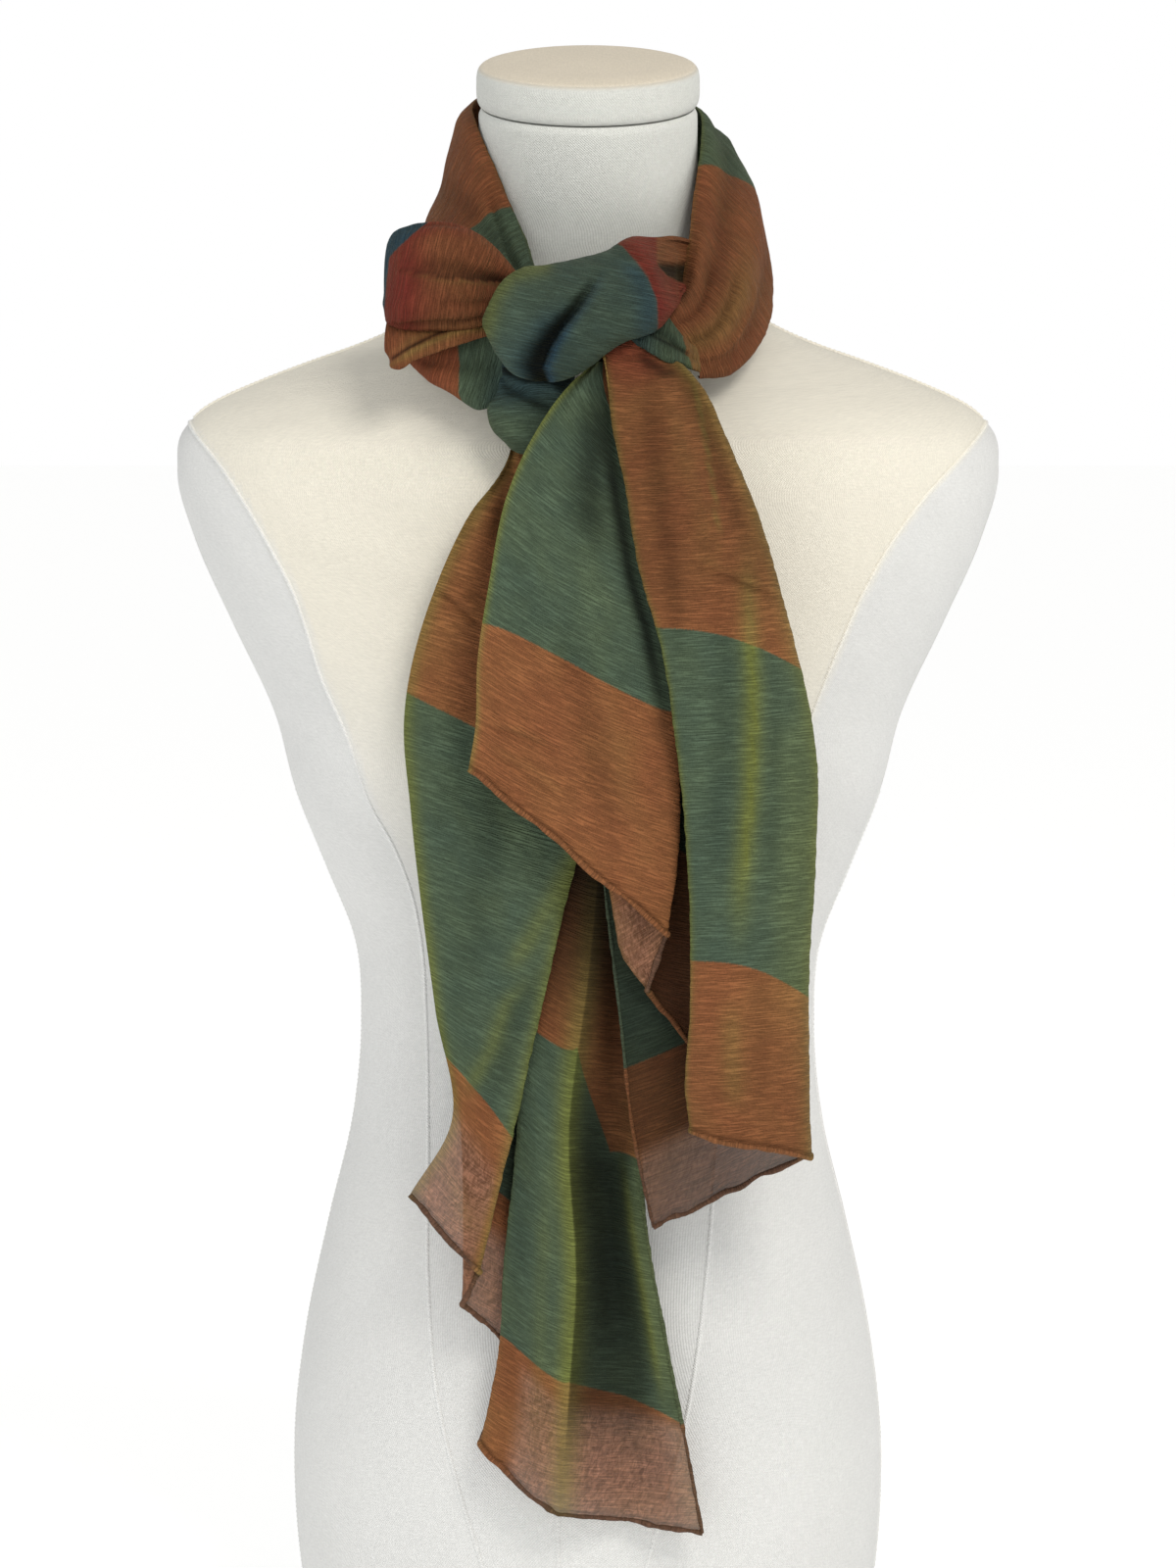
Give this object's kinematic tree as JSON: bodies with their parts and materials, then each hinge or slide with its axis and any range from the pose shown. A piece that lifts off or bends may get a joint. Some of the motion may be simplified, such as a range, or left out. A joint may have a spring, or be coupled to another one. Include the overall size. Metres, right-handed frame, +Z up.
{
  "type": "chiffon scarf tied on a dress form",
  "caption": "Long sheer two-colour chiffon scarf, doubled and knotted at the neck of a limbless dress form, its two pleated tails hanging down the front; for dressing a display.",
  "frame": {"origin": "centre line of the dress form, on its flat base", "axes": "+Z up, -Y to the front of the form, +X to its left shoulder"},
  "size_m": [0.3922, 0.2826, 0.7731],
  "materials": {
    "jersey": "matte cream linen-look jersey stretched over the form",
    "chiffon_rust": "sheer crinkled changeable chiffon, rust blocks with a gold rim",
    "chiffon_green": "sheer crinkled changeable chiffon, teal-green blocks with a yellow-green rim"
  },
  "bodies": {
    "root": {"form_body": "jersey", "form_cap": "jersey", "neck_wrap_left": "chiffon_rust", "neck_wrap_back": "chiffon_rust", "neck_wrap_right": "chiffon_rust", "loop_fan": "chiffon_rust", "loop_fan_lip": "chiffon_rust", "under_band": "chiffon_green", "knot_core": "chiffon_green", "knot_cross": "chiffon_green", "knot_wrap": "chiffon_green", "knot_gather": "chiffon_green", "tail_front": "chiffon_green", "tail_back": "chiffon_green"}
  },
  "joints": []
}
